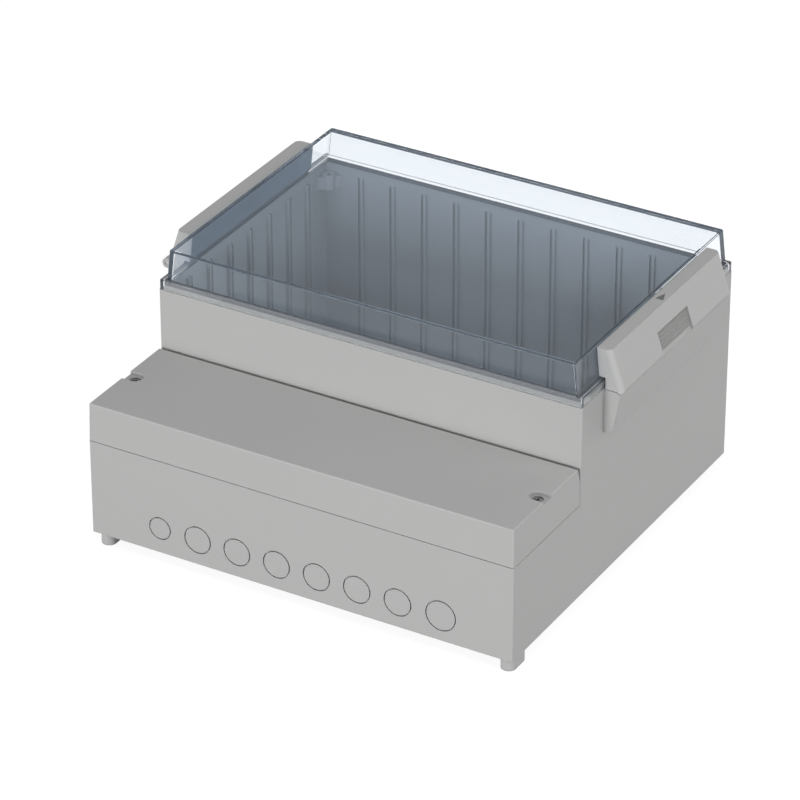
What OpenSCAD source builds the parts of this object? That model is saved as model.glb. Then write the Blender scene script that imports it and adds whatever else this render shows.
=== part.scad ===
// Controller enclosure: a stepped base with a tall electronics compartment and a
// low terminal compartment, a clear lid on a hinge strip with a closing strip opposite,
// and a screwed terminal cover. Origin under the middle, feet on z = 0, +Y to the back.

/* [Base housing] */
// Width over the side walls
base_w = 305; // [260:1:360]
// Depth from the front wall to the back wall
base_d = 290; // [250:1:340]
// Depth of the low terminal compartment in front of the tall wall
terminal_d = 85; // [70:1:110]
// Height of the low walls, from the underside to the cover's seam
seam_h = 67; // [55:0.5:80]
// Height of the tall walls, from the underside to the lid's seam
rim_h = 135.6; // [125:0.1:160]
// Thickness of the floor
floor_t = 3.5; // [2.5:0.1:5]
// Radius of the upright outer corners
corner_r = 1; // [0.5:0.1:5]
// Width of the wire passage between the two compartments
passage_w = 220; // [120:1:240]
// Height of the wire passage
passage_h = 36; // [20:1:44]
// Height of the sill under the wire passage
passage_sill = 10; // [4:1:20]

/* [Feet] */
// Height of the feet
foot_h = 7.5; // [4:0.1:12]
// Width of a foot
foot_w = 10; // [9:0.5:14]
// Length of a foot
foot_l = 20; // [16:0.5:30]
// Distance of the left front foot from the left wall's face
foot_in_left = 4.3; // [0:0.1:8]
// Distance of the right front foot from the right wall's face
foot_in_right = 0; // [0:0.1:8]
// Distance of the back feet from the side walls' faces
foot_in_back = 8; // [0:0.1:20]
// Diameter of the fixing hole in a foot
fixing_d = 4.2; // [3:0.1:5]
// Depth of the fixing hole
fixing_depth = 9; // [6:0.1:10]

/* [Rims and seals] */
// Height of the lips that stand inside the lid and the cover
lip_h = 3; // [2:0.1:4]
// Thickness of the lips
lip_t = 1.5; // [1.2:0.1:2]
// Free space between a lip and the skirt round it
lip_gap = 0.3; // [0.2:0.05:0.5]
// Thickness of the skirts of the lid and the cover
skirt_t = 2.2; // [1.8:0.1:2.8]
// Open seam line under a skirt
seam_gap = 0.4; // [0.3:0.05:0.8]
// Height of a gasket in its closed state
gasket_h = 2.4; // [1:0.1:3]
// Width of a gasket
gasket_w = 2.2; // [1.6:0.1:3]

/* [Knock-outs] */
// Diameter of the small knock-out
ko_small_d = 15.4; // [12:0.1:17]
// Diameter of the middle knock-outs
ko_mid_d = 18.9; // [15:0.1:20]
// Diameter of the large knock-out
ko_large_d = 20.8; // [18:0.1:24]
// Number of middle knock-outs
ko_mid_n = 6; // [1:1:6]
// Pitch of the middle knock-outs
ko_pitch = 29; // [24:0.1:30]
// Distance from the small knock-out to its neighbour
ko_small_pitch = 28; // [24:0.1:32]
// Distance from the large knock-out to its neighbour
ko_large_pitch = 30.5; // [26:0.1:34]
// Offset of the row from the middle of the front wall
ko_shift = 0.7; // [-4:0.1:4]
// Height of the row above the underside
ko_z = 17.7; // [14:0.1:40]
// Width of the ring groove round a knock-out
ko_groove_w = 0.8; // [0.4:0.1:1.5]
// Depth of the ring groove
ko_groove_t = 1.6; // [0.5:0.1:2.5]

/* [Card guides and bosses] */
// Pitch of the pairs of guide ribs
guide_pitch = 24.3; // [18:0.1:40]
// Free slot between the two ribs of a pair
guide_slot = 2; // [1.6:0.1:3.2]
// Thickness of a rib
guide_t = 1.5; // [1:0.1:2]
// How far a rib stands out from the wall
guide_out = 2.5; // [1.5:0.1:4]
// Distance from the rim down to the top of the ribs
guide_down = 3.2; // [2:0.1:30]
// Diameter of the corner bosses
boss_d = 9; // [7:0.1:10]
// Distance from the rim down to the top of the corner bosses
boss_down = 4; // [2:0.5:10]
// Height of the corner bosses
boss_h = 10; // [9.5:0.5:20]
// Length of the corner web behind a boss, along each wall
web_l = 13; // [10:0.5:20]
// Drop of the corner web below the top of its boss
web_drop = 1; // [0.5:0.1:2]
// Diameter of the pilot hole in a corner boss
pilot_d = 3.2; // [2:0.1:4]
// Depth of the pilot hole
pilot_depth = 9; // [5:0.5:9]

/* [Terminal cover] */
// Height of the cover above its seam
cover_h = 27; // [24:0.5:36]
// Draft of the cover's front and sides, from seam to top
cover_draft = 0.5; // [0:0.1:1.5]
// How far the upper part of the cover's back leans forward
cover_lean = 2.3; // [0:0.1:2.5]
// Height of the leaning part of the cover's back
cover_lean_h = 10; // [4:0.5:16]
// Bevel round the cover's top
cover_bevel = 0.5; // [0.4:0.1:1.5]
// Thickness of the cover's top
cover_t = 3; // [2:0.1:4]
// Gap between the cover and the tall wall
cover_gap = 0.3; // [0.2:0.05:0.6]

/* [Cover screws] */
// Distance from the front wall's face to a screw
screw_y = 43.2; // [30:0.1:55]
// Distance from the side wall's face to a screw
screw_in = 7.5; // [7:0.1:9]
// Diameter of the screw's shank
screw_d = 4; // [3:0.1:4]
// Diameter of the screw's head
screw_head_d = 7; // [5.5:0.1:7.4]
// Height of the screw's head
screw_head_h = 2.8; // [2:0.1:3.4]
// How far the screw reaches into the base
screw_reach = 12; // [10:0.5:18]
// Width of the drive slots in the head
drive_w = 1.1; // [0.8:0.1:1.4]
// Depth of the drive slots
drive_t = 1.4; // [0.8:0.1:1.8]
// Radius of the notch round a screw, open to the side
notch_r = 5.5; // [4.5:0.1:6]
// Depth of the notch
notch_depth = 2.5; // [1.5:0.1:4]
// Depth of the counterbore in the notch
sink_depth = 3.5; // [3:0.1:5]
// Diameter of the screw boss in the cover
screw_boss_d = 11; // [10:0.1:12]
// Free space round the screw's shank and head
screw_gap = 0.3; // [0.15:0.05:0.5]
// Free depth of the screw hole under the screw's tip
screw_tip_gap = 2; // [1:0.5:4]
// Outer diameter of a threaded insert
insert_d = 6.4; // [5.6:0.1:7]
// Length of a threaded insert
insert_l = 9; // [6:0.5:9]
// How far an insert lies below the top of its post
insert_down = 1; // [0.2:0.1:1]
// Glue space round an insert
insert_gap = 0.05; // [0.02:0.01:0.2]

/* [Lid] */
// Height of the lid's flange top above the rim seam
flange_h = 7.1; // [6.6:0.1:9]
// Radius of the flange's upright corners
flange_r = 2; // [1:0.1:8]
// Bevel along the flange's top edge
flange_bevel = 0.7; // [0.5:0.1:2]
// Height of the lid's top above its flange
lid_h = 21.4; // [15:0.1:40]
// Width of the flange ledge on the left and right
ledge_x = 4.4; // [3:0.1:6]
// Width of the flange ledge at the front
ledge_front = 2.6; // [2:0.1:6]
// Width of the flange ledge at the back
ledge_back = 0.8; // [0.4:0.1:6]
// Draft of the lid's left and right walls
lid_draft_x = 2.3; // [1:0.1:5]
// Draft of the lid's front and back walls
lid_draft_y = 0.3; // [0:0.1:5]
// Radius of the lid's upright corners
lid_r = 1; // [0.6:0.1:4]
// Bevel round the lid's top
lid_bevel = 0.4; // [0.3:0.1:1.5]
// Thickness of the lid's walls and top
lid_t = 2.4; // [2:0.1:4]

/* [Strips beside the lid] */
// Length of a strip and of the shoulder under it
strip_l = 149.6; // [100:0.1:180]
// Offset of the strips from the middle of the tall compartment
strip_shift = 1.7; // [-5:0.1:5]
// Drop of a strip's top below the lid's top
strip_drop = 1.4; // [0.5:0.1:4]
// Free space between a strip, the lid and the shoulder
strip_gap = 0.4; // [0.3:0.05:0.6]
// Radius of a strip's rounded end corners
strip_end_r = 4; // [2:0.1:6]

/* [Closing strip] */
// How far the strip stands out from the side wall at its lower edge
strip_out = 12.5; // [10:0.1:16]
// Width of the strip's top face
strip_top_w = 9.7; // [9:0.1:13]
// Radius of the rounded lower edge that the strip turns on
bead_r = 2.2; // [1.6:0.1:2.6]
// Height of the turning axis above the rim seam
pivot_up = 0.6; // [0.2:0.1:1.2]
// Free space round a rounded edge or a barrel in its seat
bead_gap = 0.4; // [0.3:0.05:0.6]
// Length of the finger grip
grip_l = 41; // [20:1:60]
// Height of the finger grip along the sloping face
grip_h = 14; // [8:0.5:18]
// Depth of the finger grip
grip_t = 1.6; // [0.8:0.1:2]
// Number of grip ridges
grip_n = 10; // [3:1:10]
// Width of a grip ridge
ridge_w = 0.6; // [0.5:0.1:1.2]
// Height of a grip ridge
ridge_t = 0.7; // [0.3:0.1:0.9]
// Width of the arrow on top of the strip
arrow_w = 6; // [3:0.1:8]
// Length of the arrow
arrow_l = 8.7; // [4:0.1:12]
// Depth of the arrow
arrow_t = 0.5; // [0.2:0.1:1]
// Offset of the arrow's base from the middle of the strip
arrow_shift = -1.4; // [-10:0.1:10]

/* [Hinge strip] */
// Distance of the hinge axis from the side wall's face
hinge_out = 12.9; // [11:0.1:14]
// Height of the hinge axis above the rim seam
hinge_up = 1.5; // [1.2:0.1:3]
// Width of the hinge strip's top face
hinge_top_w = 11.1; // [9:0.1:13]
// Diameter of the hinge barrel
barrel_d = 7.1; // [6.5:0.1:8.4]
// Number of knuckles, the first and the last on the strip
knuckle_n = 5; // [3:2:9]
// Free space between two knuckles
knuckle_gap = 0.4; // [0.3:0.05:0.8]
// Diameter of the hinge pin
pin_d = 3; // [2:0.1:3.6]
// Free space round the pin in the knuckles of the strip
pin_gap = 0.15; // [0.1:0.05:0.3]
// Glue space round the pin in the knuckles of the base
pin_seat_gap = 0.05; // [0.02:0.01:0.1]
// How far the pin's ends lie inside the barrel
pin_in = 0.6; // [0.2:0.1:2]

/* [Shoulders] */
// Drop of the shoulder's top below the rim seam
shoulder_drop = 0.9; // [0.5:0.1:1.4]
// How far the shoulder's outer edge lies inside the strip's
shoulder_back = 1.6; // [1:0.1:3]
// Bevel along the shoulder's outer edge
shoulder_bevel = 1.8; // [1.6:0.1:2.4]
// Height of the shoulder
shoulder_h = 30; // [20:0.5:45]
// Thickness of the shoulder's lower end
shoulder_end_t = 5.7; // [2:0.1:7]
// Rise of the shoulder's underside
shoulder_rise = 2; // [0:0.1:6]
// Height of the webs that carry the knuckles on the hinge side
knuckle_web_h = 10; // [6:0.5:16]
// Angle below level at which a web leaves its knuckle
web_angle = 30; // [15:1:45]

/* [Hidden] */
$fn = 48;
// Overlap that joins two features of one moulding
weld = 0.5;
// Overrun of a cut beyond the face that it opens
over = 1;
// Thickness of the slices that a drafted shell is drawn between
slice = 0.02;
// Smallest radius of an inner corner
min_r = 1;
wall_t = skirt_t + lip_gap + lip_t;
front_y = -base_d / 2;
back_y = base_d / 2;
tall_y = front_y + terminal_d;
tall_mid_y = (tall_y + back_y) / 2;
side_x = base_w / 2;
seam_z = foot_h + seam_h;
rim_z = foot_h + rim_h;
inner_floor_z = foot_h + floor_t;
seal_h = lip_h + gasket_h;
flange_z = rim_z + flange_h;
lid_top_z = flange_z + lid_h;
cover_top_z = seam_z + cover_h;
screw_x = side_x - screw_in;
screw_at_y = front_y + screw_y;
screw_seat_z = cover_top_z - notch_depth - sink_depth;
screw_bore_d = screw_d + 2 * screw_gap;
drive_l = 2 * screw_head_d / 3;
strip_mid_y = tall_mid_y + strip_shift;
strip_y0 = strip_mid_y - strip_l / 2;
strip_top_z = lid_top_z - strip_drop;
strip_bottom_z = rim_z - shoulder_drop + strip_gap;
strip_x = side_x + strip_out;
pivot = [strip_x - bead_r, rim_z + pivot_up];
hinge = [side_x + hinge_out, rim_z + hinge_up];
knuckle_pitch = strip_l / knuckle_n;
shoulder_z = rim_z - shoulder_drop;
shoulder_x = strip_x - shoulder_back;
strip_top_x = strip_in_x(strip_top_z) + strip_top_w;
hinge_top_x = strip_in_x(strip_top_z) + hinge_top_w;
face_angle = slope(pivot, strip_top_x, bead_r);
gasket_in = skirt_t + lip_gap + gasket_w;

// Outer face of the lid's side wall at a height
function lid_side_x(z) = side_x - ledge_x - lid_draft_x * (z - flange_z) / lid_h;
// Inner face of a strip at a height
function strip_in_x(z) = lid_side_x(z) + strip_gap;
// Angle of an outer face that runs from a top edge to a circle round an axis
function slope(axis, top_x, r) = let (run = [top_x, strip_top_z] - axis)
    atan2(run.y, run.x) - acos(r / norm(run));
// Distance between two grip ridges
function grip_pitch() = grip_h / grip_n;
// Position of a knock-out in the row, counted from the small one
function ko_run(i) = i == 0 ? 0 : ko_small_pitch + (min(i, ko_mid_n) - 1) * ko_pitch
    + (i > ko_mid_n ? ko_large_pitch : 0);
// Diameter of a knock-out in the row
function ko_d(i) = i == 0 ? ko_small_d : i > ko_mid_n ? ko_large_d : ko_mid_d;

// Rectangle between two depths, with its own corner radius at the front and the back
module plan(half_w, y0, y1, r_front, r_back) {
    translate([-half_w, y0 + r_front])
        square([2 * half_w, y1 - y0 - r_front - r_back]);
    for (end = [[y0, r_front, 1], [y1, r_back, -1]])
        if (end[1] > 0) {
            translate([-half_w + end[1], end[2] > 0 ? y0 : y1 - end[1]])
                square([2 * (half_w - end[1]), end[1]]);
            for (side = [-1, 1])
                translate([side * (half_w - end[1]), end[0] + end[2] * end[1]])
                    circle(end[1]);
        }
}

// Outline of the tall compartment, moved in by a distance
module tall_plan(in, r) {
    r_in = max(r - in, min_r);
    plan(side_x - in, tall_y + in, back_y - in, r_in, r_in);
}

// Outline of the terminal compartment's seal, moved in by a distance, led round the screws
module seal_plan(in) {
    difference() {
        plan(side_x - in, front_y + in, tall_y - cover_gap - in, max(corner_r - in, min_r), 0);
        for (side = [-1, 1])
            translate([side * screw_x, screw_at_y]) {
                circle(screw_boss_d / 2 - skirt_t + in);
                translate([side > 0 ? 0 : -side_x, -screw_boss_d / 2 + skirt_t - in])
                    square([side_x, screw_boss_d - 2 * skirt_t + 2 * in]);
            }
    }
}

module at_height(z, h) {
    translate([0, 0, z])
        linear_extrude(h) children();
}

// Ribs of the card guides along the four walls of the tall compartment
module guide_ribs() {
    in_x = side_x - wall_t;
    in_y0 = tall_y + wall_t;
    in_y1 = back_y - wall_t;
    in_mid_y = (in_y0 + in_y1) / 2;
    n_x = floor((in_x - boss_d - guide_pitch / 4) / guide_pitch);
    n_y = floor(((in_y1 - in_y0) / 2 - boss_d - guide_pitch / 4) / guide_pitch);
    rib = guide_out + weld;
    pair = (guide_slot + guide_t) / 2;
    for (i = [-n_x : n_x], k = [-1, 1])
        translate([i * guide_pitch + k * pair - guide_t / 2, 0]) {
            translate([0, in_y0 - weld]) square([guide_t, rib]);
            translate([0, in_y1 - guide_out]) square([guide_t, rib]);
        }
    for (i = [-n_y : n_y], k = [-1, 1])
        translate([0, in_mid_y + i * guide_pitch + k * pair - guide_t / 2]) {
            translate([-in_x - weld, 0]) square([rib, guide_t]);
            translate([in_x - guide_out, 0]) square([rib, guide_t]);
        }
}

// Places its children at the four corner bosses, mirrored so that the corner lies at +X +Y
module at_boss_corners() {
    for (side = [0, 1], back = [0, 1])
        translate([0, tall_mid_y, 0])
            mirror([side, 0, 0])
                mirror([0, back, 0])
                    translate([side_x - wall_t - boss_d / 2,
                        back_y - wall_t - boss_d / 2 - tall_mid_y,
                        rim_z - boss_down])
                        children();
}

// One corner boss in front of a web across the corner of the two walls that meet there
module corner_boss() {
    wall = boss_d / 2 + weld;
    leg = web_l + weld;
    translate([0, 0, -boss_h]) {
        cylinder(d = boss_d, h = boss_h);
        linear_extrude(boss_h - web_drop)
            polygon([[wall, wall], [wall - leg, wall], [wall, wall - leg]]);
    }
}

// Places its children at the middle of each foot
module at_feet() {
    x_front = side_x - foot_w / 2;
    x_back = x_front - foot_in_back;
    y = base_d / 2 - foot_l / 2;
    for (at = [[foot_in_left - x_front, -y], [x_front - foot_in_right, -y], [-x_back, y], [x_back, y]])
        translate(at) children();
}

// One foot with round ends, sunk into the floor
module foot() {
    linear_extrude(foot_h + weld) {
        square([foot_w, foot_l - foot_w], center = true);
        for (end = [-1, 1])
            translate([0, end * (foot_l - foot_w) / 2]) circle(d = foot_w);
    }
}

// Turns a section drawn in X and Z into a bar along the length of a strip
module strip_bar() {
    translate([0, strip_y0 + strip_l, 0])
        rotate([90, 0, 0])
            linear_extrude(strip_l) children();
}

// Bar of a shoulder on the right side
module shoulder_bar() {
    strip_bar()
        polygon([
            [side_x - weld, shoulder_z],
            [shoulder_x - shoulder_bevel, shoulder_z],
            [shoulder_x, shoulder_z - shoulder_bevel],
            [side_x + shoulder_end_t, shoulder_z - shoulder_h + shoulder_rise],
            [side_x - weld, shoulder_z - shoulder_h]
        ]);
}

// Shoulder of the closing strip, with the round seat of the strip's lower edge
module closing_shoulder() {
    difference() {
        shoulder_bar();
        translate([pivot.x, strip_y0 - over, pivot.y])
            rotate([-90, 0, 0])
                cylinder(r = bead_r + bead_gap, h = strip_l + 2 * over);
    }
}

// Round bars on the hinge axis, on every second knuckle from a first one, longer by a gap at each end
module knuckles(first, d, gap) {
    for (i = [first : 2 : knuckle_n - 1])
        translate([hinge.x, strip_y0 + i * knuckle_pitch - gap, hinge.y])
            rotate([-90, 0, 0])
                cylinder(d = d, h = knuckle_pitch + 2 * gap);
}

// Bore for the hinge pin
module pin_bore(gap) {
    translate([hinge.x, strip_y0 - over, hinge.y])
        rotate([-90, 0, 0])
            cylinder(d = pin_d + 2 * gap, h = strip_l + 2 * over);
}

// Shoulder of the hinge strip, drawn on the right: knuckles on webs, and seats between them
module hinge_shoulder() {
    seat_d = barrel_d + 2 * bead_gap;
    difference() {
        union() {
            shoulder_bar();
            knuckles(1, barrel_d, -knuckle_gap / 2);
            intersection() {
                strip_bar()
                    polygon([
                        hinge,
                        hinge + barrel_d / 2 * [cos(web_angle), -sin(web_angle)],
                        [side_x + shoulder_end_t, shoulder_z - knuckle_web_h],
                        [hinge.x - barrel_d / 2, shoulder_z - shoulder_bevel]
                    ]);
                knuckles(1, 4 * barrel_d, -knuckle_gap / 2);
            }
        }
        knuckles(0, seat_d, knuckle_gap / 2);
        pin_bore(pin_seat_gap);
    }
}

// Ring grooves of the knock-outs in the front wall
module knock_outs() {
    last = ko_mid_n + 1;
    for (i = [0 : last])
        translate([ko_run(i) - ko_run(last) / 2 + ko_shift, front_y - over, foot_h + ko_z])
            rotate([-90, 0, 0])
                difference() {
                    cylinder(d = ko_d(i) + ko_groove_w, h = ko_groove_t + over);
                    cylinder(d = ko_d(i) - ko_groove_w, h = ko_groove_t + over);
                }
}

module base_housing() {
    color("lightgray")
        difference() {
            union() {
                difference() {
                    union() {
                        at_height(foot_h, seam_h)
                            plan(side_x, front_y, back_y, corner_r, corner_r);
                        at_height(foot_h, rim_h) tall_plan(0, corner_r);
                        at_height(seam_z - weld, lip_h + weld)
                            seal_plan(skirt_t + lip_gap);
                        at_height(rim_z - weld, lip_h + weld)
                            tall_plan(skirt_t + lip_gap, flange_r);
                    }
                    at_height(inner_floor_z, seam_h + lip_h) seal_plan(wall_t);
                    at_height(inner_floor_z, rim_h + lip_h) tall_plan(wall_t, flange_r);
                }
                at_height(inner_floor_z - weld, rim_z - guide_down - inner_floor_z + weld)
                    guide_ribs();
                at_boss_corners() corner_boss();
                at_feet() foot();
                closing_shoulder();
                mirror([1, 0, 0]) hinge_shoulder();
            }
            translate([-passage_w / 2, tall_y - wall_t - cover_gap - weld,
                inner_floor_z + passage_sill])
                cube([passage_w, 2 * wall_t + cover_gap + guide_out + 2 * weld, passage_h]);
            at_boss_corners()
                translate([0, 0, -pilot_depth]) cylinder(d = pilot_d, h = pilot_depth + over);
            at_feet()
                translate([0, 0, -over]) cylinder(d = fixing_d, h = fixing_depth + over);
            for (side = [-1, 1])
                translate([side * screw_x, screw_at_y, 0]) {
                    translate([0, 0, seam_z - insert_down - insert_l])
                        cylinder(d = insert_d + 2 * insert_gap, h = insert_l + insert_down + over);
                    translate([0, 0, seam_z - screw_reach - screw_tip_gap])
                        cylinder(d = screw_bore_d, h = screw_reach);
                }
            knock_outs();
        }
}

// One slice of a drafted shell over the terminal compartment
module cover_slice(z, in, back_in) {
    at_height(z, slice)
        plan(side_x - in, front_y + in, tall_y - cover_gap - back_in, max(corner_r - in, min_r), 0);
}

module terminal_cover() {
    skirt_z = seam_z + seam_gap;
    bevel_z = cover_top_z - cover_bevel - slice;
    lean_z = cover_top_z - cover_lean_h;
    lean_in = cover_draft * (lean_z - skirt_z) / (bevel_z - skirt_z);
    color("silver")
        difference() {
            hull() {
                cover_slice(skirt_z, 0, 0);
                cover_slice(lean_z, lean_in, 0);
                cover_slice(bevel_z, cover_draft, cover_lean);
                cover_slice(cover_top_z - slice, cover_draft + cover_bevel, cover_lean + cover_bevel);
            }
            at_height(skirt_z - over, seal_h - seam_gap + over) seal_plan(skirt_t);
            at_height(skirt_z, cover_h - seam_gap - cover_t)
                seal_plan(gasket_in);
            for (side = [-1, 1])
                translate([side * screw_x, screw_at_y, 0]) {
                    translate([0, 0, cover_top_z - notch_depth]) {
                        cylinder(r = notch_r, h = notch_depth + over);
                        translate([side > 0 ? 0 : -2 * screw_in, -notch_r, 0])
                            cube([2 * screw_in, 2 * notch_r, notch_depth + over]);
                    }
                    translate([0, 0, screw_seat_z])
                        cylinder(d = screw_head_d + 2 * screw_gap, h = sink_depth + over);
                    translate([0, 0, skirt_z - over])
                        cylinder(d = screw_bore_d, h = cover_h);
                }
        }
}

// One slice of the drafted lid at a height, moved in from the flange's left and right, front and back
module lid_slice(z, in, r) {
    at_height(z, slice)
        plan(side_x - in[0], tall_y + in[1], back_y - in[2], r, r);
}

// Drafted body of the lid between two heights, moved in from the flange's edges
module lid_body(in, r, z0, z1) {
    draft = [lid_draft_x, lid_draft_y, lid_draft_y] / lid_h;
    bevel = [lid_bevel, lid_bevel, lid_bevel];
    top_in = in + draft * (z1 - flange_z);
    hull() {
        lid_slice(z0, in + draft * (z0 - flange_z), r);
        lid_slice(z1 - lid_bevel - slice, top_in, r);
        lid_slice(z1 - slice, top_in + bevel, r);
    }
}

module transparent_lid() {
    skirt_z = rim_z + seam_gap;
    ledges = [ledge_x, ledge_front, ledge_back];
    walls = [lid_t, lid_t, max(lid_t, gasket_in - ledge_back)];
    color("lightsteelblue", 0.5)
        difference() {
            union() {
                hull() {
                    at_height(skirt_z, flange_z - flange_bevel - skirt_z) tall_plan(0, flange_r);
                    at_height(flange_z - slice, slice) tall_plan(flange_bevel, flange_r);
                }
                lid_body(ledges, lid_r, flange_z - flange_bevel, lid_top_z);
            }
            at_height(skirt_z - over, seal_h - seam_gap + over) tall_plan(skirt_t, flange_r);
            lid_body(ledges + walls, min_r, rim_z + lip_h, lid_top_z - lid_t);
        }
}

module lid_gasket() {
    color("dimgray")
        at_height(rim_z + lip_h, gasket_h)
            difference() {
                tall_plan(skirt_t + lip_gap, flange_r);
                tall_plan(gasket_in, flange_r);
            }
}

module cover_gasket() {
    color("dimgray")
        at_height(seam_z + lip_h, gasket_h)
            difference() {
                seal_plan(skirt_t + lip_gap);
                seal_plan(gasket_in);
            }
}

// Section of a strip on the right: a hook over the lid's flange, closed by the points of its outer side
module strip_section(outer) {
    hook_z = flange_z + strip_gap;
    notch_x = side_x + strip_gap;
    polygon(concat([[strip_in_x(strip_top_z), strip_top_z]], outer, [
        [outer[len(outer) - 1].x, strip_bottom_z],
        [notch_x, strip_bottom_z],
        [notch_x, hook_z],
        [strip_in_x(hook_z), hook_z]
    ]));
}

// Places its children on a strip's outer face: X out of it, Y along it, Z up the slope
module on_outer_face(axis, angle, r) {
    translate([axis.x, strip_mid_y, axis.y])
        rotate([0, -angle, 0])
            translate([r, 0, 0]) children();
}

// Room that a strip with rounded outer corners fills, drawn along the sloping face
module strip_ends(axis, angle, r) {
    reach = hinge_top_w + hinge_out + strip_end_r;
    height = strip_top_z - strip_bottom_z;
    on_outer_face(axis, angle, r)
        translate([0, 0, -height])
            linear_extrude(3 * height) {
                translate([-3 * reach, -strip_l / 2])
                    square([3 * reach - strip_end_r, strip_l]);
                translate([-2 * strip_end_r, -strip_l / 2 + strip_end_r])
                    square([2 * strip_end_r, strip_l - 2 * strip_end_r]);
                for (end = [-1, 1])
                    translate([-strip_end_r, end * (strip_l / 2 - strip_end_r)])
                        circle(strip_end_r);
            }
}

// Closing strip on the right, with its rounded lower edge, finger grip and arrow
module closing_strip() {
    arrow_x = (strip_in_x(strip_top_z) + strip_top_x) / 2;
    color("gainsboro")
        intersection() {
            union() {
                difference() {
                    strip_bar() {
                        strip_section([
                            [strip_top_x, strip_top_z],
                            pivot + bead_r * [cos(face_angle), sin(face_angle)],
                            pivot
                        ]);
                        translate(pivot) circle(bead_r);
                    }
                    on_outer_face(pivot, face_angle, bead_r)
                        translate([-grip_t, -grip_l / 2, -2 * bead_r])
                            cube([grip_t + over, grip_l, grip_h + 2 * bead_r]);
                    translate([arrow_x, strip_mid_y + arrow_shift, strip_top_z - arrow_t])
                        linear_extrude(arrow_t + over)
                            polygon([[-arrow_w / 2, 0], [arrow_w / 2, 0], [0, arrow_l]]);
                }
                on_outer_face(pivot, face_angle, bead_r)
                    for (i = [1 : grip_n - 1])
                        translate([-grip_t - weld, -grip_l / 2 - weld, i * grip_pitch() - ridge_w / 2])
                            cube([ridge_t + weld, grip_l + 2 * weld, ridge_w]);
            }
            strip_ends(pivot, face_angle, bead_r);
        }
}

// Hinge strip on the left, with its knuckles and the room for the knuckles of the base
module hinge_strip() {
    color("gainsboro")
        mirror([1, 0, 0])
            difference() {
                union() {
                    intersection() {
                        strip_bar() strip_section([[hinge_top_x, strip_top_z], hinge]);
                        strip_ends(hinge, slope(hinge, hinge_top_x, 0), 0);
                    }
                    knuckles(0, barrel_d, -knuckle_gap / 2);
                }
                knuckles(1, barrel_d + 2 * bead_gap, knuckle_gap / 2);
                pin_bore(pin_gap);
            }
}

module hinge_pin() {
    color("slategray")
        translate([-hinge.x, strip_y0 + pin_in, hinge.y])
            rotate([-90, 0, 0])
                cylinder(d = pin_d, h = strip_l - 2 * pin_in);
}

// Captive cover screw with a crosswise drive, on the left or the right
module cover_screw(side) {
    color("slategray")
        translate([side * screw_x, screw_at_y, screw_seat_z])
            difference() {
                union() {
                    cylinder(d = screw_head_d, h = screw_head_h);
                    translate([0, 0, seam_z - screw_reach - screw_seat_z])
                        cylinder(d = screw_d, h = screw_seat_z - seam_z + screw_reach + weld);
                }
                for (turn = [0, 90])
                    rotate(turn)
                        translate([-drive_l / 2, -drive_w / 2, screw_head_h - drive_t])
                            cube([drive_l, drive_w, drive_t + over]);
            }
}

module cover_screw_left() {
    cover_screw(-1);
}

module cover_screw_right() {
    cover_screw(1);
}

// Threaded insert in the base's screw post
module threaded_insert(side) {
    color("goldenrod")
        translate([side * screw_x, screw_at_y, seam_z - insert_down - insert_l])
            difference() {
                cylinder(d = insert_d, h = insert_l);
                translate([0, 0, -over])
                    cylinder(d = screw_bore_d, h = insert_l + 2 * over);
            }
}

module threaded_insert_left() {
    threaded_insert(-1);
}

module threaded_insert_right() {
    threaded_insert(1);
}

base_housing();
terminal_cover();
transparent_lid();
lid_gasket();
cover_gasket();
hinge_strip();
hinge_pin();
closing_strip();
cover_screw_left();
cover_screw_right();
threaded_insert_left();
threaded_insert_right();
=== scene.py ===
# %% [markdown]
# # A controller enclosure in two greys and one clear lid
# The enclosure has five mouldings: a stepped base, a screwed terminal cover, a hinge strip and a
# closing strip in light grey, and a lid of clear, lightly smoked plastic. The solids come with
# their true sizes, so this script adds what they lack: finishes, a mark, light and a camera.

# %% Load the solids
import math

import bmesh
import bpy
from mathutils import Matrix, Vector


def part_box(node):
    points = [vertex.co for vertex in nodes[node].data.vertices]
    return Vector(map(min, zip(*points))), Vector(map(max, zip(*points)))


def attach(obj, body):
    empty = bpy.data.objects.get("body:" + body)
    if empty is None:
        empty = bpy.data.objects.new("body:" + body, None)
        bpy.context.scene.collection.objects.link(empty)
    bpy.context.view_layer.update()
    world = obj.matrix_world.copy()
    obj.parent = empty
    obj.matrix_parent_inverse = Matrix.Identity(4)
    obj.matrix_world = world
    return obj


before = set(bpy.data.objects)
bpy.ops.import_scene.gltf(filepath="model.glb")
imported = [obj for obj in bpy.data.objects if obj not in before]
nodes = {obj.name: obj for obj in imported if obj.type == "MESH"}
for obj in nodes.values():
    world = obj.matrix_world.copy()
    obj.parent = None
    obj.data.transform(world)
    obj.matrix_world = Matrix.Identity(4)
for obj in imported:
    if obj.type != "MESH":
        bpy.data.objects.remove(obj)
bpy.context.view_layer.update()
scene = bpy.context.scene
print("solids:", ", ".join(sorted(nodes)))

# %% [markdown]
# A finish is a small network of shader nodes. Wiring each sum by hand hides what it means,
# so a socket is wrapped in a class that knows + - and *, and writes the Math nodes itself.
# Every other node comes from one method: its type, its settings, then its sockets. Short methods
# on top of it add or mix two shaders and show the last one.


# %% Shader helpers
def opaque(colour, share=1.0):
    """A colour times a share, as the four numbers that a colour socket takes."""
    return [part * share for part in colour] + [1.0]


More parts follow.
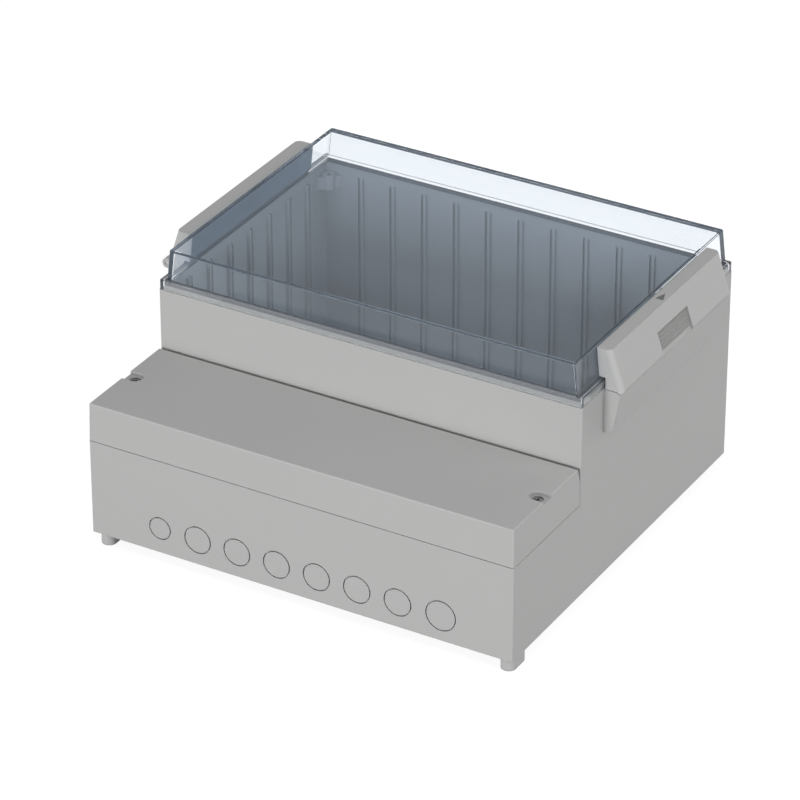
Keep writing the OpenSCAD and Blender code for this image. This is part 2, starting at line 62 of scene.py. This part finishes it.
class Value:
    """A socket that can stand in a sum."""

    def __init__(self, tree, socket):
        self.tree = tree
        self.socket = socket

    def math(self, operation, first, second):
        node = self.tree.nodes.new("ShaderNodeMath")
        node.operation = operation
        for socket, value in zip(node.inputs, (first, second)):
            if isinstance(value, Value):
                self.tree.links.new(value.socket, socket)
            else:
                socket.default_value = value
        return Value(self.tree, node.outputs[0])

    def __add__(self, other):
        return self.math("ADD", self, other)

    def __sub__(self, other):
        return self.math("SUBTRACT", self, other)

    def __rsub__(self, other):
        return self.math("SUBTRACT", other, self)

    def __mul__(self, other):
        return self.math("MULTIPLY", self, other)

    def larger(self, other):
        return self.math("MAXIMUM", self, other)

    def smaller(self, other):
        return self.math("MINIMUM", self, other)

    def below(self, limit):
        return self.math("LESS_THAN", self, limit)

    __radd__ = __add__
    __rmul__ = __mul__


class Finish:
    """A node tree of a material or of the world."""

    def __init__(self, owner):
        self.owner = owner
        owner.use_nodes = True
        self.tree = owner.node_tree
        self.tree.nodes.clear()

    def node(self, kind, settings=None, sockets=None):
        node = self.tree.nodes.new(kind)
        for name, value in (settings or {}).items():
            setattr(node, name, value)
        for name, value in (sockets or {}).items():
            if isinstance(value, Value):
                self.tree.links.new(value.socket, node.inputs[name])
            else:
                node.inputs[name].default_value = value
        return node

    def get(self, node, output=0):
        return Value(self.tree, node.outputs[output])

    def place(self):
        return self.get(self.node("ShaderNodeTexCoord"), "Object")

    def seen(self):
        ray = self.node("ShaderNodeLightPath")
        kinds = self.get(ray, "Is Camera Ray").larger(self.get(ray, "Is Glossy Ray"))
        kinds = kinds.larger(self.get(ray, "Is Transmission Ray"))
        return kinds * self.get(ray, "Diffuse Depth").below(0.5)

    def noise(self, scale, detail=3.0, roughness=0.55):
        node = self.node("ShaderNodeTexNoise", None, {
            "Vector": self.place(), "Scale": scale, "Detail": detail, "Roughness": roughness})
        return self.get(node, "Fac")

    def blend(self, factor, first, second):
        node = self.node("ShaderNodeMix", {"data_type": "RGBA"}, {0: factor, 6: first, 7: second})
        return self.get(node, 2)

    def bump(self, height, strength, distance, under=None):
        sockets = {"Height": height, "Strength": strength, "Distance": distance}
        if under is not None:
            sockets["Normal"] = under
        return self.get(self.node("ShaderNodeBump", None, sockets), "Normal")

    def join(self, node, first, second):
        for shader, socket in zip((first, second), list(node.inputs)[-2:]):
            self.tree.links.new(shader.outputs[0], socket)
        return node

    def add(self, first, second):
        return self.join(self.node("ShaderNodeAddShader"), first, second)

    def mix(self, factor, first, second):
        return self.join(self.node("ShaderNodeMixShader", None, {0: factor}), first, second)

    def show(self, shader, kind="ShaderNodeOutputMaterial"):
        self.tree.links.new(shader.outputs[0], self.node(kind).inputs["Surface"])
        return self.owner


print("helpers ready")

# %% [markdown]
# The mouldings are a light, slightly warm grey with a spark-eroded surface: a grain of about
# half a millimetre that takes the shine off. The grain could be modelled, but it would need
# millions of faces, so two noises drive a bump instead. A Bevel node rounds the shading of
# the sharp edges a little, as every moulded edge is, and a broad noise keeps the grey alive.
# Where the rounded normal leaves the flat one there is an edge, which hands polish smoother,
# and whose colour is made lighter there as a painted highlight. Where an Ambient Occlusion node
# finds a wall within two millimetres there is a nook, whose colour is darkened as painted shade.


# %% Moulded plastic
EDGE_RADIUS = 0.0006
NOOK_WIDTH = 0.0018
GRAIN_DEPTH = 0.0002
GRAIN_STRENGTH = 0.12
POLISH_AND_HIGHLIGHT_GAIN = 6.0
PAINTED_SHADE = 0.55


def moulded_plastic(name, grey):
    finish = Finish(bpy.data.materials.new(name))
    cloud = finish.noise(9.0, 2.0)
    fleck = finish.noise(1400.0, 4.0)
    coarse = finish.noise(420.0, 2.0)
    tone = cloud * 0.6 + fleck * 0.4
    dark, light, painted_highlight, painted_shade = (
        opaque(grey, share) for share in (0.955, 1.045, 1.25, 0.5))
    edge = finish.get(finish.node("ShaderNodeBevel", {"samples": 4}, {"Radius": EDGE_RADIUS}))
    flat = finish.get(finish.node("ShaderNodeNewGeometry"), "Normal")
    facing = finish.get(finish.node("ShaderNodeVectorMath", {"operation": "DOT_PRODUCT"}, {
        0: edge, 1: flat}), "Value")
    # This edge mask lowers the roughness, as polish does, and lightens the colour as a painted
    # highlight.
    polish_and_highlight = ((1.0 - facing) * POLISH_AND_HIGHLIGHT_GAIN).smaller(1.0)
    # The Ambient Occlusion below finds nooks, whose colour is darkened as painted shade.
    open_air = finish.get(finish.node("ShaderNodeAmbientOcclusion", {"samples": 6}, {
        "Distance": NOOK_WIDTH}), "AO")
    colour = finish.blend(polish_and_highlight, finish.blend(tone, dark, light), painted_highlight)
    surface = finish.node("ShaderNodeBsdfPrincipled", None, {
        "Base Color": finish.blend((1.0 - open_air) * PAINTED_SHADE, colour, painted_shade),
        "Roughness": 0.44 + 0.12 * coarse + 0.06 * cloud - 0.14 * polish_and_highlight,
        "Normal": finish.bump(fleck + 0.5 * coarse, GRAIN_STRENGTH, GRAIN_DEPTH, edge),
        "Specular IOR Level": 0.42,
        "IOR": 1.5})
    return finish.show(surface)


housing_grey = (0.450, 0.452, 0.447)
strip_grey = (0.462, 0.464, 0.460)
plastic = moulded_plastic("housing_plastic", housing_grey)
strip_plastic = moulded_plastic("strip_plastic", strip_grey)
print("plastic:", plastic.name, strip_plastic.name)

# %% [markdown]
# The lid is polycarbonate with a hint of smoke. Real walls with an inside and an outside are
# there, so a glass shader bends the light as the plastic does and the edges turn dark by
# themselves. Glass would keep all lamps out of the box, so rays from lamps go through a
# tinted Transparent shader, whose blue cools the inside. A very faint noise makes the faces a
# little uneven, and a weak Diffuse shader is added as the haze that keeps the edges from black.
# The flange below the ledge has no smoke, because the light grey rim is seen right behind it.
# The plastic bends light less here than polycarbonate does, so that its edges stay thin lines.


# %% Clear lid
FLANGE_HEIGHT = 0.0069
REFRACTION = 1.35
UNSMOKED = (0.995, 0.99, 0.985)


def clear_plastic(name, tint, film, haze, flange_top):
    finish = Finish(bpy.data.materials.new(name))
    wave = finish.noise(14.0, 1.0)
    speck = finish.noise(700.0, 2.0)
    height = finish.get(finish.node("ShaderNodeSeparateXYZ", None, {
        "Vector": finish.place()}), "Z")
    in_flange = height.below(flange_top)
    smoke = finish.blend(wave, opaque(tint, 0.99), opaque(tint))
    body = finish.node("ShaderNodeBsdfPrincipled", None, {
        "Base Color": finish.blend(in_flange, smoke, opaque(UNSMOKED)),
        "Roughness": 0.015 + 0.03 * speck,
        "Normal": finish.bump(wave, 0.05, 0.0006),
        "IOR": REFRACTION,
        "Transmission Weight": 1.0})
    veil = finish.node("ShaderNodeBsdfDiffuse", None, {"Color": opaque(haze)})
    smoked = finish.node("ShaderNodeBsdfTransparent", None, {"Color": opaque(film)})
    clear = finish.node("ShaderNodeBsdfTransparent")
    from_lamp = finish.get(finish.node("ShaderNodeLightPath"), "Is Shadow Ray")
    hazy = finish.add(body, veil)
    wall, flange = (finish.mix(from_lamp, hazy, stand_in) for stand_in in (smoked, clear))
    return finish.show(finish.mix(in_flange, wall, flange))


lid_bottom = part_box("transparent_lid")[0][2]
lid_plastic = clear_plastic(
    "smoked_clear_plastic",
    tint=(0.958, 0.978, 0.995),
    film=(0.730, 0.802, 0.885),
    haze=(0.030, 0.035, 0.041),
    flange_top=lid_bottom + FLANGE_HEIGHT)
print("lid:", lid_plastic.name)

# %% [markdown]
# The seals are foamed rubber: dark, matt and full of small cells. A Voronoi pattern gives
# the cells, both as a slight change of tone and as a bump.


# %% Foam rubber
def foam_rubber(name, dark, light):
    finish = Finish(bpy.data.materials.new(name))
    cell = finish.get(finish.node("ShaderNodeTexVoronoi", None, {
        "Vector": finish.place(), "Scale": 1600.0}), "Distance")
    surface = finish.node("ShaderNodeBsdfPrincipled", None, {
        "Base Color": finish.blend(cell, opaque(dark), opaque(light)),
        "Roughness": 0.72 + 0.2 * cell,
        "Normal": finish.bump(cell, 0.35, 0.0003),
        "Specular IOR Level": 0.3})
    return finish.show(surface)


rubber = foam_rubber("seal_rubber", (0.10, 0.105, 0.11), (0.19, 0.195, 0.205))
print("seals:", rubber.name)

# %% [markdown]
# Screws and inserts are turned metal. Turning leaves fine rings, and plating leaves cloudy
# patches, so a stretched noise breaks up the roughness and a broad one changes the colour.


# %% Turned metal
def turned_metal(name, colour, shine):
    finish = Finish(bpy.data.materials.new(name))
    turn = finish.get(finish.node("ShaderNodeMapping", None, {
        "Vector": finish.place(), "Scale": (120.0, 120.0, 5200.0)}), "Vector")
    ring = finish.get(finish.node("ShaderNodeTexNoise", None, {
        "Vector": turn, "Scale": 1.0, "Detail": 3.0}), "Fac")
    patch = finish.noise(260.0, 2.0)
    surface = finish.node("ShaderNodeBsdfPrincipled", None, {
        "Base Color": finish.blend(patch, opaque(colour, 0.8), opaque(colour)),
        "Metallic": 1.0,
        "Roughness": shine + 0.14 * ring + 0.08 * patch,
        "Normal": finish.bump(ring, 0.08, 0.0001)})
    return finish.show(surface)


steel = turned_metal("plated_steel", (0.62, 0.62, 0.63), 0.24)
brass = turned_metal("turned_brass", (0.78, 0.58, 0.26), 0.22)
print("metals:", steel.name, brass.name)

# %% [markdown]
# Each solid keeps its mesh, which is right, and only takes a finish into its material slots.

# %% Hand out the finishes
finish_of = {
    "base_housing": plastic,
    "terminal_cover": plastic,
    "transparent_lid": lid_plastic,
    "lid_gasket": rubber,
    "cover_gasket": rubber,
    "hinge_strip": strip_plastic,
    "hinge_pin": steel,
    "closing_strip": strip_plastic,
    "cover_screw_left": steel,
    "cover_screw_right": steel,
    "threaded_insert_left": brass,
    "threaded_insert_right": brass,
}
for name, material in finish_of.items():
    for slot in nodes[name].material_slots:
        slot.material = material
print("finished:", len(finish_of), "solids")

# %% [markdown]
# The arrow on the closing strip is a dark inlay in a shallow recess. It starts as three points
# and is extruded into a thin plate, so that it has real edges, and it rides on its strip.

# %% Arrow inlay
ARROW_FROM_EDGE = 0.00485
ARROW_SETBACK = 0.0014
ARROW_HALF_WIDTH = 0.0028
ARROW_LENGTH = 0.0084
RECESS_GAP = 0.00015
PLATE = 0.0003

ink = moulded_plastic("dark_inlay", (0.17, 0.185, 0.17))
low, high = (Vector(corner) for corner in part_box("closing_strip"))
base = Vector((
    low.x + ARROW_FROM_EDGE, (low.y + high.y) / 2 - ARROW_SETBACK, high.z - RECESS_GAP))
corners = [(-ARROW_HALF_WIDTH, RECESS_GAP), (ARROW_HALF_WIDTH, RECESS_GAP), (0.0, ARROW_LENGTH)]
mesh = bmesh.new()
face = mesh.faces.new([mesh.verts.new(base + Vector((x, y, 0))) for x, y in corners])
raised = bmesh.ops.extrude_face_region(mesh, geom=[face])["geom"]
lower = [part for part in raised if isinstance(part, bmesh.types.BMVert)]
bmesh.ops.translate(mesh, verts=lower, vec=(0, 0, -PLATE))
bmesh.ops.recalc_face_normals(mesh, faces=mesh.faces[:])
data = bpy.data.meshes.new("arrow_inlay")
mesh.to_mesh(data)
mesh.free()
arrow = bpy.data.objects.new("arrow_inlay", data)
scene.collection.objects.link(arrow)
arrow.data.materials.append(ink)
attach(arrow, "closing_strip")
print("arrow:", len(data.polygons), "faces")

# %% [markdown]
# The photograph stands on white. The floor is a diffuse plane that also glows, but only for
# rays that come from the camera or through glass and gloss, so that it turns white without
# throwing more light on the enclosure, and the shadow stays. A ray that has bounced off a matt
# face first doesn't count, or the glow would light the inside of the box through the lid.

# %% Floor and world
FLOOR_GREY = (0.15, 0.15, 0.15)
FLOOR_GLOW = 0.92
SKY_LEVEL = 0.28

bpy.ops.mesh.primitive_plane_add(size=60.0, location=(0, 0, 0))
floor = bpy.context.object
floor.name = "floor"
pale = Finish(bpy.data.materials.new("pale_floor"))
matt = pale.node("ShaderNodeBsdfDiffuse", None, {"Color": opaque(FLOOR_GREY)})
glow = pale.node("ShaderNodeEmission", None, {"Strength": pale.seen() * FLOOR_GLOW})
floor.data.materials.append(pale.show(pale.add(matt, glow)))

scene.world = bpy.data.worlds.new("studio")
sky = Finish(scene.world)
sky.show(sky.node("ShaderNodeBackground", None, {
    "Color": (1.0, 1.0, 1.0, 1.0), "Strength": SKY_LEVEL}), "ShaderNodeOutputWorld")
print("stage: floor and world")

# %% [markdown]
# Soft boxes light the mouldings: a strong one in front, which makes the upright front walls the
# brightest faces, one on the right, a weak one above, and two low ones for the back and the left,
# which the camera doesn't see. Little comes from above, so the level faces stay darker, and only a
# narrow beam straight down reaches the floor of the tall compartment, which lights its walls from
# below. The lid's top would mirror one or another lamp in most views from the side and hide the
# inside, so gloss and glass don't see the lamps.


# %% Lamps
def soft_box(name, place, aim, size, watts, spread=180.0):
    data = bpy.data.lights.new(name, "AREA")
    data.shape = "RECTANGLE"
    data.size, data.size_y = size
    data.energy = watts
    data.spread = math.radians(spread)
    lamp = bpy.data.objects.new(name, data)
    lamp.location = place
    lamp.rotation_euler = (Vector(aim) - Vector(place)).to_track_quat("-Z", "Y").to_euler()
    lamp.visible_glossy = False
    lamp.visible_transmission = False
    scene.collection.objects.link(lamp)


middle = (0.0, 0.0, 0.08)
soft_box("front_box", (0.2, -2.8, 0.4), middle, (1.2, 1.2), 66.0)
soft_box("right_box", (2.6, 0.3, 1.0), middle, (1.8, 1.8), 35.2)
soft_box("top_box", (0.0, -0.6, 3.0), middle, (1.6, 1.6), 21.5)
soft_box("back_box", (1.0, 2.8, 0.2), middle, (1.0, 1.0), 31.0)
soft_box("left_box", (-2.8, -0.4, 0.1), middle, (1.0, 1.0), 24.0)
over_opening = (0.0, 0.042, 1.2)
under_opening = (0.0, 0.042, 0.0)
soft_box("inner_box", over_opening, under_opening, (0.23, 0.15), 0.055, spread=4.0)

# %% [markdown]
# The camera stands far off with a long lens, 30 degrees round to the right and 30 degrees
# up, so that the parallel edges of the box stay nearly parallel in the picture.

# %% Camera
lens = bpy.data.cameras.new("camera")
lens.lens = 200.835
lens.sensor_width = 36.0
lens.clip_end = 100.0
camera = bpy.data.objects.new("camera", lens)
camera.location = (1.22903, -2.14593, 1.50330)
camera.rotation_euler = (math.radians(60.0), 0.0, math.radians(30.0))
scene.collection.objects.link(camera)
scene.camera = camera
scene.view_settings.view_transform = "Standard"
print("camera:", tuple(round(c, 3) for c in camera.location))
